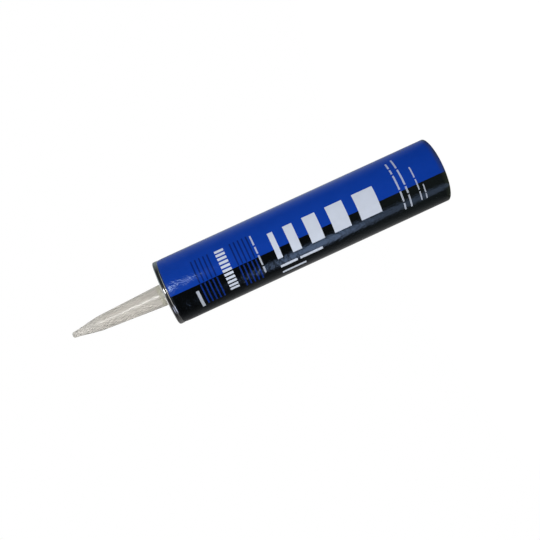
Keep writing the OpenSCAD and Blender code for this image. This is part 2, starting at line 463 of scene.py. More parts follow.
def makeBoardMaterial(f):
    material, tree, shader = newMaterial("spiralBoard")
    at = useGroup(tree, tubeCoordinates).outputs
    skin = useGroup(tree, tooth, f["tooth"]).outputs
    plies = useGroup(tree, turnedRings, {"Run": at["Radius"], "Pitch": f["plyPitch"]}).outputs[0]
    cut = times(skin["Tooth"], 1 - f["plyShare"])
    kraft = mixColour(timesPlus(plies, f["plyShare"], cut), f["kraft"], f["kraftLight"])
    lap = useGroup(tree, spiralSeam, {
        "Height": at["Height"], "Angle": at["Angle"], "Lead": f["foilLead"], "Start": f["foilStart"],
        "Width": f["foilWidth"]}).outputs
    lined = stripMask(at["Radius"], 0.0, bore + f["foilDepth"], f["foilSoft"])
    foil = mixColour(times(lap["Mask"], f["seamShare"]), f["foil"], f["foilSeam"])
    foil = mixColour(times(skin["Mottle"], f["dullShare"]), foil, f["foilDull"])
    fillSockets(tree, shader, {
        "Base Color": mixColour(lined, kraft, foil),
        "Metallic": times(lined, f["foilMetal"]),
        "Roughness": timesPlus(lined, -f["foilSmoother"], f["roughness"]),
    })
    height = timesPlus(lap["Side"], f["seamStep"], skin["Tooth"])
    addBump(tree, shader, height, f["bump"] * mm)
    return material


boardTube = makeTube()
boardTube.data.materials.append(makeBoardMaterial(boardFinish))
print("board tube made")


# Printed label

labelValues = {
    "paper": 0.15,
    "edgeRound": 0.06,
    "lapAngle": 171.5,  # the paper's free edge lies on the second edge between the fields
    "lapWidth": 7.0,
    "lapRise": 0.1,
    "lapSoft": 0.4,  # share of the lap over which its far side rises
    "lapOpening": 0.1,  # degrees between the paper's two ends
    "segments": 300,
    "rows": 220,
    "firstRow": 0.1,
    "neckRows": (0.35, 0.7, 1.0),  # shares of the neck's taper
    "sharpDeg": 40,
    "plyGroove": 0.025,
    "plyWidth": 1.1,
    "waveHeight": 0.03,
    "waveSize": 26.0,
    "puckerHeight": 0.045,
    "puckerSize": 5.5,
    "puckerReach": 42.0,
    "calmEnds": 2.0,  # the relief dies out over this length at both ends
}


def labelRelief(angleDeg, z):
    # How far the paper stands off its true radius: ply seam, slight waves, puckers below the neck
    v = labelValues
    t = tubeValues
    lead = t["plyLead"]
    off = (z - angleDeg * lead / 360 - t["plyStart"] + lead / 2) % lead - lead / 2
    groove = -v["plyGroove"] * max(0.0, 1 - abs(off) / v["plyWidth"]) ** 2
    a = math.radians(angleDeg)
    spot = Vector((math.cos(a), math.sin(a), 0)) * tubeOuter + Vector((0, 0, z))
    wave = noise.noise(spot / v["waveSize"]) * v["waveHeight"]
    near = max(0.0, 1 - (neckZ - z) / v["puckerReach"])
    pucker = noise.noise(spot / v["puckerSize"]) * v["puckerHeight"] * near
    ends = min(1.0, z / v["calmEnds"], max(0.0, neckStart - z) / v["calmEnds"])
    return (groove + wave + pucker) * ends


def lapStep(angleDeg):
    # The paper laps over its own end: a sharp edge on one side and a soft rise on the other
    v = labelValues
    wide = math.degrees(v["lapWidth"] / tubeOuter)
    into = (v["lapAngle"] - angleDeg) % 360
    if into < wide:
        return v["lapRise"] * min(1.0, (wide - into) / (wide * v["lapSoft"]))
    return 0.0


def makeLabel():
    v = labelValues
    t = tubeValues
    radius = tubeOuter + v["paper"]
    first = v["firstRow"]
    heights = [first + (neckStart - first) * i / v["rows"] for i in range(v["rows"] + 1)]
    angles = [v["lapAngle"] + 360 * i / v["segments"] for i in range(v["segments"])]
    angles.append(v["lapAngle"] + 360 - v["lapOpening"])
    bm = bmesh.new()
    rings = []

    def addRing(r, z, moved):
        row = []
        for a in angles:
            out = 0.0
            if moved:
                signed = (a + 180) % 360 - 180
                out = lapStep(a) + labelRelief(signed, z)
            s = math.radians(a)
            row.append(bm.verts.new(((r + out) * math.sin(s) * mm, -(r + out) * math.cos(s) * mm, z * mm)))
        rings.append(row)

    addRing(radius - v["edgeRound"], 0.0, False)
    for z in heights:
        addRing(radius - wallFall(z), z, True)
    for share in v["neckRows"]:
        z = neckStart + t["neckTaper"] * share
        addRing(radius - wallFall(z), z, False)
    addRing(radius - t["neckDepth"], tubeTop, False)
    for z in [tubeTop, neckZ] + fallHeights[::-1] + [0.0]:
        addRing(tubeOuter - wallFall(z), z, False)
    for low, high in zip(rings, rings[1:] + rings[:1]):
        for i in range(len(angles)):
            j = (i + 1) % len(angles)
            bm.faces.new((low[i], low[j], high[j], high[i]))
    piece = finishMesh("labelSleeve", bm, v["sharpDeg"])
    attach(piece, "cartridge")
    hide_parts("label")
    return piece


labelPrint = {
    "blue": (0.0026, 0.041, 0.345),
    "black": (0.0012, 0.0013, 0.0014),
    "blackHazed": (0.0060, 0.0080, 0.0078),  # the black is slightly paler towards the rear edge
    "hazeFrom": 100.0,
    "hazeLength": 90.0,
    "white": (0.585, 0.635, 0.74),
    "toneLow": 0.93,  # every colour varies slightly from here up
    "toneSpread": 0.14,
    "rubbed": (0.035, 0.042, 0.030),  # the print is rubbed in patches along the rear edge
    "rubbedReach": 4.0,
    "rubbedShare": 1.4,
    "paperEdge": (0.62, 0.60, 0.55),
    "edgeHeight": 0.12,
    "edgeSoft": 0.1,
    "edgeShare": 0.8,
    "mirrorTint": (0.62, 0.83, 1.0),
    "ior": 1.5,
    "roughness": 0.10,
    "roughSpread": 0.08,
    "neckRougher": 0.03,
    "whiteRougher": 0.06,
    "soft": 0.07,  # width of an edge in the print
    "tooth": {"Fine": 2600.0, "Broad": 120.0},
    # relief of the varnish: depths in mm
    "crinkleFront": 0.3,
    "crinkleBack": 0.02,
    "crinkleBlack": 0.3,  # share of it on the black field, which is smoother
    "crinkleReach": 40.0,
    "crinkleSize": {"Along": 4.0, "Across": 1.3},
    "rippleDepth": 0.16,
    "rippleBlue": 0.25,  # share of it on the blue field
    "rippleSize": {"Slant": 0.0, "Along": 3.4, "Across": 2.0},
    "seamDepth": 0.02,
    "seamWidth": 0.7,
    "toothDepth": 0.0015,
    "inkDepth": 0.004,
    # places along the tube are in mm behind the metal end's skirt, and angles in degrees from the front line
    "fieldEdge": -8.5,
    "barStart": 79.0,
    "barWidths": (4.0, 7.0, 10.0, 13.0, 16.0),
    "barGap": 7.8,
    "barFrom": -26.5,
    "barTo": 20.5,
    "tickStart": 40.2,
    "tickLength": 6.8,
    "tickPitch": 7.0,
    "tickWidth": 4.34,
    "tickCount": 11,
    "ringStart": 22.0,
    "ringPitch": 3.1,
    "ringWidth": 1.1,
    "ringCount": 5,
    "ringAngle": 40.0,
    "ringStop": 1.0,
    "ringOnBlue": 0.6,  # how far a thin ring's colour goes from its field's to the other's
    "ringOnBlack": 0.5,
    "fineShare": 0.68,  # how white the thin lines are
    # lines round the tube: start, width, and the angles between which each dash runs
    "lines": (
        (17.4, 2.2, ((-52, -18),)),
        (67.0, 1.2, ((-40, -27), (-24, -6), (-3, 9), (12, 30))),
        (176.3, 1.3, ((-43, -30), (-27, -8), (-5, 21), (24, 33), (36, 49))),
        (181.2, 1.3, ((-43, -19), (-16, -4), (-1, 28), (31, 53))),
        (189.6, 1.0, ((-39, -22), (-19, 0), (3, 23))),
        (193.6, 0.9, ((-40, -30), (-28, -13))),
    ),
    # lines along the tube: angle of the middle, width in degrees, and from where to where
    "rows": (
        (-42.5, 5.2, ((79.0, 92.0), (94.2, 111.6))),
        (-58.5, 5.2, ((79.0, 97.4),)),
    ),
}


def ringMask(tree, angle, back, softDeg, p):
    # Two sets of thin rings, mirrored across the ticks, that stop short of the edge between the fields
    run = (p["ringCount"] - 1) * p["ringPitch"] + p["ringWidth"]
    second = 2 * p["tickStart"] + p["tickLength"] - p["ringStart"] - run
    rings = eitherOf([
        useGroup(tree, repeatedStrip, {
            "Value": back, "Start": start, "Pitch": p["ringPitch"], "Width": p["ringWidth"],
            "Count": p["ringCount"], "Soft": p["soft"]}).outputs[0]
        for start in (p["ringStart"], second)])
    edge, stop, reach = p["fieldEdge"], p["ringStop"], p["ringStop"] + p["ringAngle"]
    spans = [stripMask(angle, edge + stop, edge + reach, softDeg),
             stripMask(angle, edge - reach, edge - stop, softDeg)]
    return times(rings, eitherOf(spans))


def whiteMask(tree, angle, back, softDeg, p):
    # Bars that grow in width, a row of ticks, and dashed lines round and along the tube
    bars = []
    start = p["barStart"]
    for width in p["barWidths"]:
        bars.append(stripMask(back, start, start + width, p["soft"]))
        start += width + p["barGap"]
    upright = stripMask(angle, p["barFrom"], p["barTo"], softDeg)
    white = [times(eitherOf(bars), upright)]
    firstTick = p["fieldEdge"] - (p["tickCount"] - 1) / 2 * p["tickPitch"]
    ticks = useGroup(tree, repeatedStrip, {
        "Value": angle, "Start": firstTick, "Pitch": p["tickPitch"], "Width": p["tickWidth"],
        "Count": p["tickCount"], "Soft": softDeg}).outputs[0]
    tickBand = stripMask(back, p["tickStart"], p["tickStart"] + p["tickLength"], p["soft"])
    white.append(times(ticks, tickBand))
    for start, width, parts in p["lines"]:
        band = stripMask(back, start, start + width, p["soft"])
        dashes = eitherOf([stripMask(angle, low, high, softDeg) for low, high in parts])
        white.append(times(times(band, dashes), p["fineShare"]))
    for middle, width, parts in p["rows"]:
        band = stripMask(angle, middle - width / 2, middle + width / 2, softDeg)
        dashes = eitherOf([stripMask(back, low, high, p["soft"]) for low, high in parts])
        white.append(times(band, dashes))
    return eitherOf(white)


def labelColour(height, skin, blueField, rings, white, p):
    blackField = minus(1.0, blueField)
    blue = timesPlus(times(rings, blueField), -p["ringOnBlue"], blueField)
    blue = timesPlus(times(rings, blackField), p["ringOnBlack"], blue)
    haze = over(minus(p["hazeFrom"], height), p["hazeLength"], clamp=True)
    black = mixColour(haze, p["black"], p["blackHazed"])
    colour = mixColour(white, mixColour(blue, black, p["blue"]), p["white"])
    tone = timesPlus(skin["Mottle"], p["toneSpread"], p["toneLow"])
    colour = brightness(colour, tone)
    rub = times(fadeMask(height, p["rubbedReach"]), skin["Mottle"])
    colour = mixColour(times(rub, p["rubbedShare"]), colour, p["rubbed"])
    cutEdge = minus(1.0, riseMask(height, p["edgeHeight"], p["edgeSoft"]))
    return mixColour(times(cutEdge, p["edgeShare"]), colour, p["paperEdge"])


def labelHeight(tree, at, skin, near, blueField, white, p):
    # The varnished paper is crinkled near the neck, where the tube was pressed in, and faintly elsewhere
    turn = {"Height": at["Height"], "Angle": at["Angle"]}
    creases = useGroup(tree, crinkle, {**turn, **p["crinkleSize"]}).outputs[0]
    side = timesPlus(blueField, 1.0 - p["crinkleBlack"], p["crinkleBlack"])
    depth = timesPlus(times(near, side), p["crinkleFront"], p["crinkleBack"])
    height = times(creases, depth)
    ripples = useGroup(tree, crinkle, {**turn, **p["rippleSize"]}).outputs[0]
    ripples = times(ripples, timesPlus(blueField, p["rippleBlue"] - 1.0, 1.0))
    seam = useGroup(tree, spiralSeam, {
        **turn, "Lead": tubeValues["plyLead"], "Start": tubeValues["plyStart"],
        "Width": p["seamWidth"]}).outputs["Mask"]
    for part, depth in ((ripples, p["rippleDepth"]), (seam, -p["seamDepth"]),
                        (skin["Tooth"], p["toothDepth"]), (white, p["inkDepth"])):
        height = timesPlus(part, depth, height)
    return height


def makeLabelMaterial(p):
    material, tree, shader = newMaterial("printedPaper")
    at = useGroup(tree, tubeCoordinates).outputs
    skin = useGroup(tree, tooth, p["tooth"]).outputs
    back = minus(skirtFoot, at["Height"])
    near = fadeMask(back, p["crinkleReach"])
    softDeg = math.degrees(p["soft"] / tubeOuter)
    blueField = stripMask(at["Angle"], p["fieldEdge"], p["fieldEdge"] + 180, softDeg)
    rings = ringMask(tree, at["Angle"], back, softDeg, p)
    white = whiteMask(tree, at["Angle"], back, softDeg, p)
    rough = timesPlus(near, p["neckRougher"], mottledRoughness(skin, p))
    fillSockets(tree, shader, {
        "Base Color": labelColour(at["Height"], skin, blueField, rings, white, p),
        "Roughness": timesPlus(white, p["whiteRougher"], rough),
        "Specular Tint": p["mirrorTint"],
        "IOR": p["ior"],
    })
    addBump(tree, shader, labelHeight(tree, at, skin, near, blueField, white, p), mm)
    return material


labelSleeve = makeLabel()
labelSleeve.data.materials.append(makeLabelMaterial(labelPrint))
print("label made")


# Metal end

endValues = {
    "sheet": 0.3,
    # skirt's foot, its bead and the dip above it, then the seaming roller's ridge: rise and how far out
    "bead": ((0.0, 0.0), (0.4, 0.14), (0.9, 0.02)),
    "ridge": (1.9, 0.14),
    "ridgeRound": 1.0,
    "beadSteps": 8,
    "shoulderTilt": 9.0,  # where the rim's round begins, in degrees above level
    "rimSteps": 24,
    "sink": 4.0,  # how far the panel lies below the rim
    "sinkRound": 0.9,
    "sinkSteps": 10,
    "panelStart": 0.1,
    "bend": 0.5,
    # the panel's ring, then the raised collar and its lip round the nozzle's neck
    "ringMiddle": 16.8,
    "ringWidth": 3.4,
    "ringTop": 1.36,
    "ringHeight": 0.7,
    "stepWidth": 1.0,
    "stepHeight": 1.5,
    "lip": 0.9,
    "neckRadius": 8.0,
    "neckGap": 0.05,
    "flangeReach": 2.6,
    "segments": 256,
    "sharpDeg": 45,
}


def makeMetalEnd():
    v = endValues
    t = tubeValues
    channel = t["wall"] + labelValues["paper"] + 2 * t["seamGap"]
    rim = channel / 2 + v["sheet"]
    wallRadius = bore - t["neckDepth"] - t["seamGap"] - v["sheet"]
    middle = (wallRadius + rim, rimTop - rim)
    foot = middle[0] + rim
    panel = rimTop - v["sink"]
    edge = v["neckRadius"] + v["neckGap"] + v["sheet"]
    step = edge + v["flangeReach"] + v["stepWidth"]
    stepTop = panel + v["stepHeight"]
    line = []
    for (low, lowOut), (high, highOut) in zip(v["bead"], v["bead"][1:]):
        for i in range(v["beadSteps"]):
            k = i / v["beadSteps"]
            share = (1 - math.cos(math.pi * k)) / 2
            line.append((foot + lowOut + (highOut - lowOut) * share, skirtFoot + low + (high - low) * k))
    shoulder = arcLine(middle, rim, v["shoulderTilt"], 180, v["rimSteps"])
    rises = [v["bead"][-1], v["ridge"]]
    line += roundCorners([(foot + out, skirtFoot + rise) for rise, out in rises] + shoulder[:1],
                         v["ridgeRound"], v["beadSteps"])
    line += shoulder[1:]
    sinkMiddle = (wallRadius - v["sinkRound"], panel + v["sinkRound"])
    line += arcLine(sinkMiddle, v["sinkRound"], 0, -90, v["sinkSteps"])
    line += roundCorners([
        (sinkMiddle[0] - v["panelStart"], panel),
        (v["ringMiddle"] + v["ringWidth"] / 2, panel),
        (v["ringMiddle"] + v["ringTop"] / 2, panel + v["ringHeight"]),
        (v["ringMiddle"] - v["ringTop"] / 2, panel + v["ringHeight"]),
        (v["ringMiddle"] - v["ringWidth"] / 2, panel),
        (step, panel),
        (step - v["stepWidth"], stepTop),
        (edge, stepTop),
        (edge, stepTop + v["lip"]),
    ], v["bend"])
    outline = line + sideLine(line, v["sheet"])[::-1]
    piece = lathe("metalEnd", outline, v["segments"], v["sharpDeg"])
    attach(piece, "cartridge")
    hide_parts("front_end")
    return piece


tinFinish = {
    "bright": (0.44, 0.44, 0.43),
    "dull": (0.34, 0.34, 0.34),
    "roughness": 0.1,
    "roughSpread": 0.08,
    "tooth": {"Fine": 4200.0, "Broad": 420.0},
    "toothShare": 0.6,
    "ringPitch": 0.16,
    "bump": 0.001,
}


def makeTinMaterial(f):
    material, tree, shader = newMaterial("tinplate")
    at = useGroup(tree, tubeCoordinates).outputs
    skin = useGroup(tree, tooth, f["tooth"]).outputs
    run = plus(at["Radius"], at["Height"])
    rings = useGroup(tree, turnedRings, {"Run": run, "Pitch": f["ringPitch"]}).outputs[0]
    fillSockets(tree, shader, {
        "Base Color": mixColour(skin["Mottle"], f["bright"], f["dull"]),
        "Metallic": 1.0,
        "Roughness": mottledRoughness(skin, f),
    })
    addBump(tree, shader, timesPlus(skin["Tooth"], f["toothShare"], rings), f["bump"] * mm)
    return material


metalEnd = makeMetalEnd()
metalEnd.data.materials.append(makeTinMaterial(tinFinish))
print("metal end made")


# Nozzle

nozzleValues = {
    "neckAboveRim": 4.6,
    # two faint rings round the neck, at these shares of its height above the rim
    "ringPlaces": (1 / 3, 0.8),
    "ringHeight": 0.14,
    "ringWidth": 0.9,
    "ringSteps": 8,
    "cone": 48.4,
    "coneEnd": 5.35,
    "coneStart": 0.6,
    "coneBend": 9.0,
    "tipCone": 13.9,
    "tipConeEnd": 2.85,
    "bendSteps": 8,
    "nub": 6.4,
    "nubEnd": 2.15,
    "nubStep": 0.12,
    "tipRound": 0.6,  # share of the nub's radius
    "tipFrom": 12,  # degrees above level
    "tipSteps": 7,
    "wall": 1.2,
    "flange": 1.3,
    "lean": 0.55,  # how far the tip leans towards +X
    "segments": 160,
    "sharpDeg": 30,
}


def makeNozzle():
    v = nozzleValues
    e = endValues
    r = e["neckRadius"]
    flange = r + e["flangeReach"]
    flangeTop = rimTop - e["sink"] - e["sheet"] + e["stepHeight"]
    neckEnd = rimTop + v["neckAboveRim"]
    kink = neckEnd + v["cone"]
    nubStart = kink + v["tipCone"]
    tip = nubStart + v["nub"]
    outside = [(flange, flangeTop - v["flange"]), (flange, flangeTop), (r, flangeTop)]
    for share in v["ringPlaces"]:
        middle = rimTop + v["neckAboveRim"] * share
        for i in range(v["ringSteps"] + 1):
            k = i / v["ringSteps"]
            lift = (1 - math.cos(2 * math.pi * k)) / 2
            outside.append((r + v["ringHeight"] * lift, middle + v["ringWidth"] * (k - 0.5)))
    outside += roundCorners([
        (r, neckEnd - v["coneStart"]), (r, neckEnd), (v["coneEnd"], kink), (v["tipConeEnd"], nubStart)],
        v["coneBend"], v["bendSteps"])
    tipRound = v["nubEnd"] * v["tipRound"]
    outside += [(v["tipConeEnd"] - v["nubStep"], nubStart + v["nubStep"]), (v["nubEnd"], tip - tipRound)]
    outside += arcLine((v["nubEnd"] - tipRound, tip - tipRound), tipRound, v["tipFrom"], 90, v["tipSteps"])
    w = v["wall"]
    inside = [(0, tip), (0, nubStart), (v["tipConeEnd"] - w, nubStart - w), (v["coneEnd"] - w, kink),
              (r - w, neckEnd), (r - w, flangeTop - v["flange"])]
    piece = lathe("nozzleMoulding", outside + inside, v["segments"], v["sharpDeg"])
    for vertex in piece.data.vertices:
        rise = max(0.0, vertex.co.z / mm - neckEnd) / (tip - neckEnd)
        vertex.co.x += v["lean"] * rise * mm
    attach(piece, "cartridge")
    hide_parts("nozzle")
    return piece


nozzleFinish = {
    "cone": (0.588, 0.56, 0.508),
    "base": (0.575, 0.557, 0.463),
    "baseTop": 221.0,  # a height in mm, as tipFrom and nubFrom are
    "baseSoft": 1.2,
    "tip": (0.58, 0.56, 0.52),
    "tipFrom": 268.0,
    "tipSoft": 12.0,
    "tipShare": 0.7,
    "nub": (0.55, 0.53, 0.49),
    "nubFrom": 282.5,
    "nubSoft": 2.0,
    "cloud": (0.54, 0.52, 0.48),
    "cloudShare": 0.16,
    "scatterColour": (1.0, 1.0, 1.0),
    "scatterDepth": 7.5,
    "roughness": 0.22,
    "roughSpread": 0.05,
    "ior": 1.5,
    "tooth": {"Fine": 1600.0, "Broad": 180.0},
    "ringPitch": 0.5,
    "ringShare": 0.8,
    "bump": 0.006,
}


def makeNozzleMaterial(f):
    material, tree, shader = newMaterial("naturalPolyethylene")
    shader.subsurface_method = "BURLEY"  # less grainy than a random walk
    at = useGroup(tree, tubeCoordinates).outputs
    skin = useGroup(tree, tooth, f["tooth"]).outputs
    rings = useGroup(tree, turnedRings, {"Run": at["Height"], "Pitch": f["ringPitch"]}).outputs[0]
    colour = mixColour(riseMask(at["Height"], f["baseTop"], f["baseSoft"]), f["base"], f["cone"])
    tipPart = riseMask(at["Height"], f["tipFrom"], f["tipSoft"])
    colour = mixColour(times(tipPart, f["tipShare"]), colour, f["tip"])
    colour = mixColour(riseMask(at["Height"], f["nubFrom"], f["nubSoft"]), colour, f["nub"])
    colour = mixColour(times(skin["Mottle"], f["cloudShare"]), colour, f["cloud"])
    fillSockets(tree, shader, {
        "Base Color": colour,
        "Roughness": mottledRoughness(skin, f),
        "Subsurface Weight": 1.0,
        "Subsurface Radius": f["scatterColour"],
        "Subsurface Scale": f["scatterDepth"] * mm,
        "IOR": f["ior"],
    })
    addBump(tree, shader, timesPlus(rings, f["ringShare"], skin["Tooth"]), f["bump"] * mm)
    return material


nozzleMoulding = makeNozzle()
nozzleMoulding.data.materials.append(makeNozzleMaterial(nozzleFinish))
print("nozzle made")


# Foil seal, which stays the frame's own piece

foilFinish = {
    "bright": (0.7, 0.7, 0.7),
    "dull": (0.55, 0.55, 0.55),
    "roughness": 0.25,
    "roughSpread": 0.2,
    "tooth": {"Fine": 3000.0, "Broad": 500.0},
    "bump": 0.01,
}


def makeFoilMaterial(f):
    material, tree, shader = newMaterial("sealFoil")
    skin = useGroup(tree, tooth, f["tooth"]).outputs
    fillSockets(tree, shader, {
        "Base Color": mixColour(skin["Mottle"], f["bright"], f["dull"]),
        "Metallic": 1.0,
        "Roughness": mottledRoughness(skin, f),
    })
    addBump(tree, shader, skin["Tooth"], f["bump"] * mm)
    return material


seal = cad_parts["inner_seal"]
seal.data.materials.clear()
seal.data.materials.append(makeFoilMaterial(foilFinish))
print("seal dressed")


# Sealant

sealantValues = {"edge": 0.3, "shoulder": 0.35, "segments": 96}


def makeSealant():
    v = sealantValues
    low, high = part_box("sealant")
    radius, bottom, top = high.x / mm, low.z / mm, high.z / mm
    edge = v["edge"]
    outline = [(0, bottom), (radius - edge, bottom), (radius, bottom + edge), (radius, top - v["shoulder"]),
               (radius - edge, top), (0, top)]
    piece = lathe("sealantFill", outline, v["segments"])
    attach(piece, "cartridge")
    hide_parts("sealant")
    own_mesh(piece)
    return piece


pasteFinish = {
    "light": (0.11, 0.11, 0.11),
    "dark": (0.07, 0.07, 0.07),
    "roughness": 0.35,
    "roughSpread": 0.2,
    "tooth": {"Fine": 900.0, "Broad": 90.0},
    "bump": 0.1,
}


def makePasteMaterial(f):
    material, tree, shader = newMaterial("greyPaste")
    skin = useGroup(tree, tooth, f["tooth"]).outputs
    fillSockets(tree, shader, {
        "Base Color": mixColour(skin["Mottle"], f["light"], f["dark"]),
        "Roughness": mottledRoughness(skin, f),
    })
    addBump(tree, shader, skin["Mottle"], f["bump"] * mm)
    return material


sealantFill = makeSealant()
sealantFill.data.materials.append(makePasteMaterial(pasteFinish))
print("sealant made")


# Plunger

plungerValues = {
    "wall": 1.3,
    "waist": 0.8,
    "lip": 2.2,
    "rearEdge": 0.3,
    "cornerRound": 0.25,
    "cornerSteps": 3,
    "floorRound": 0.8,
    "floorFrom": 75,  # degrees above level, as on the nozzle's tip
    "floorSteps": 5,
    "ribs": 8,
    "ribHeight": 6.5,
    "ribThickness": 1.1,
    "ribInset": 0.4,  # how far a rib reaches into the hub ring
    "ribEdge": 0.15,
    "edgeSteps": 2,
    "hub": 6.5,
    "hubDraft": 0.01,
    "hubEdge": 0.2,
    "segments": 160,
    "hubSegments": 64,
    "sharpDeg": 40,
}


def makeRib(bm, v, turn, outer, foot, top):
    part = bmesh.ops.create_cube(bm, size=1.0)["verts"]
    length = outer - v["hub"]
    size = Matrix.Diagonal((length * mm, v["ribThickness"] * mm, (top - foot) * mm, 1))
    middle = Vector((v["hub"] + length / 2 - v["ribInset"], 0, (top + foot) / 2)) * mm
    spin = Matrix.Rotation(turn, 4, "Z")
    bmesh.ops.transform(bm, matrix=spin @ Matrix.Translation(middle) @ size, verts=part)
    edges = {e for vert in part for e in vert.link_edges}
    bmesh.ops.bevel(bm, geom=list(edges), offset=v["ribEdge"] * mm, segments=v["edgeSteps"],
                    affect="EDGES")


def makePlunger():
    v = plungerValues
    low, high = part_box("plunger")
    r, rear, face = high.x / mm, low.z / mm, high.z / mm
    w, lip, wall, edge, bend = v["waist"], v["lip"], v["wall"], v["rearEdge"], v["floorRound"]
    cup = r - w - wall
    floor = face - wall
    outside = roundCorners([
        (cup + edge, rear), (r - w / 2, rear), (r, rear + w / 2), (r, rear + lip), (r - w, rear + lip + w),
        (r - w, face - lip - 2 * w), (r, face - lip - w), (r, face - w), (r - w, face), (0, face)],
        v["cornerRound"], v["cornerSteps"])
    inside = [(0, floor), (cup - bend, floor)]
    inside += arcLine((cup - bend, floor - bend), bend, v["floorFrom"], 0, v["floorSteps"])
    inside += [(cup, rear + edge)]
    piece = lathe("plungerCup", outside + inside, v["segments"], v["sharpDeg"])
    bm = bmesh.new()
    bm.from_mesh(piece.data)
    ribTop, ribFoot = floor + wall / 2, floor - v["ribHeight"]
    for i in range(v["ribs"]):
        makeRib(bm, v, 2 * math.pi * i / v["ribs"], cup + wall / 2, ribFoot, ribTop)
    bm.to_mesh(piece.data)
    bm.free()
    hubInner = v["hub"] - v["ribThickness"]
    ring = lathe("hubRing", roundCorners([
        (v["hub"] - v["hubDraft"], ribTop), (v["hub"], ribFoot), (hubInner, ribFoot), (hubInner, ribTop)],
        v["hubEdge"], v["edgeSteps"]), v["hubSegments"], v["sharpDeg"])
    bpy.ops.object.select_all(action="DESELECT")
    ring.select_set(True)
    piece.select_set(True)
    bpy.context.view_layer.objects.active = piece
    bpy.ops.object.join()
    for face in piece.data.polygons:
        face.use_smooth = True
    piece.data.set_sharp_from_angle(angle=math.radians(v["sharpDeg"]))
    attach(piece, "piston")
    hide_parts("plunger")
    return piece


plungerFinish = {
    "light": (0.76, 0.76, 0.73),
    "dark": (0.66, 0.66, 0.63),
    "scatterWeight": 0.2,
    "scatterDepth": 3.0,
    "roughness": 0.36,
    "roughSpread": 0.16,
    "tooth": {"Fine": 1500.0, "Broad": 160.0},
    "ringPitch": 0.35,
    "ringShare": 0.7,
    "bump": 0.012,
}


def makePlungerMaterial(f):
    material, tree, shader = newMaterial("plungerPolyethylene")
    at = useGroup(tree, tubeCoordinates).outputs
    skin = useGroup(tree, tooth, f["tooth"]).outputs
    rings = useGroup(tree, turnedRings, {"Run": at["Radius"], "Pitch": f["ringPitch"]}).outputs[0]
    fillSockets(tree, shader, {
        "Base Color": mixColour(skin["Mottle"], f["light"], f["dark"]),
        "Roughness": mottledRoughness(skin, f),
        "Subsurface Weight": f["scatterWeight"],
        "Subsurface Scale": f["scatterDepth"] * mm,
    })
    addBump(tree, shader, timesPlus(rings, f["ringShare"], skin["Tooth"]), f["bump"] * mm)
    return material


plungerCup = makePlunger()
plungerCup.data.materials.append(makePlungerMaterial(plungerFinish))
print("plunger made")


# Floor, world and lamps, in metres

studio = {
    "floorSize": 6.0,
    "floorColour": (0.8, 0.8, 0.8),
    "floorRoughness": 0.9,
    "shadowShare": 0.22,
    "shadowReach": 0.3,
    "floorLevel": 0.45,  # how bright the lamps and the world make a white floor
    "ambientFront": 0.12,
    "ambientLeft": 0.32,
    "ambientRight": 0.75,
    "ambientBack": 0.9,
    # what a glossy surface sees: a dim front, a pale back that is brighter and cooler on +X, a bright ceiling
    "mirrorFront": 0.06,
    "mirrorBack": 0.37,
    "mirrorRight": 0.68,
    "sideRise": 1.3,
    "coolSide": (0.78, 0.94, 1.0),
    "wallLevel": 0.66,
    "wallRise": 14.0,
    "ceilingLevel": 1.5,
    "ceilingFrom": 0.4,
    "ceilingRise": 4.0,
    "surface": (0.022, 0.009),  # where the mirrored rays leave the tube, sideways and forwards
    "nearLevel": 0.55,  # the mirrored floor is darker close to the object
    "nearReach": 0.4,
    # a pale blue window's light on the floor, seen only in reflections: a wedge from its corner outwards
    "windowColour": (0.65, 0.72, 1.0),
    "windowCorner": (-0.012, -0.020, 0.0),
    "windowTurn": -68.0,
    "windowWidth": 26.0,
    "windowLow": 1.2,
    "windowHigh": 4.8,
    "windowPlace": 1.05,
    "windowFade": 0.8,
}

lamps = {
    "keyLamp": {"turn": 9.0, "rise": 16.5, "distance": 1.2, "width": 0.3, "height": 0.26, "power": 3.9,
                "aim": 0.15, "reflected": True},
    # the rest of the key light, which makes no highlight
    "softLamp": {"turn": 9.0, "rise": 16.0, "distance": 1.2, "width": 0.3, "height": 0.3, "power": 0.7,
                 "aim": 0.15, "reflected": False},
    "fillLamp": {"turn": -42.0, "rise": 2.0, "distance": 0.42, "width": 0.2, "height": 0.2, "power": 0.5,
                 "aim": 0.13, "reflected": False},
}


def makeLamp(name, v):
    data = bpy.data.lights.new(name, "AREA")
    data.shape = "RECTANGLE"
    data.size = v["width"]
    data.size_y = v["height"]
    data.energy = v["power"]
    lamp = bpy.data.objects.new(name, data)
    turn, rise = math.radians(v["turn"]), math.radians(v["rise"])
    away = Vector((math.sin(turn) * math.cos(rise), -math.cos(turn) * math.cos(rise), math.sin(rise)))
    lamp.location = Vector((0, 0, v["aim"])) + away * v["distance"]
    lamp.rotation_mode = "QUATERNION"
    lamp.rotation_quaternion = (-away).to_track_quat("-Z", "Y")
    lamp.visible_camera = False
    lamp.visible_glossy = v["reflected"]
    bpy.context.scene.collection.objects.link(lamp)


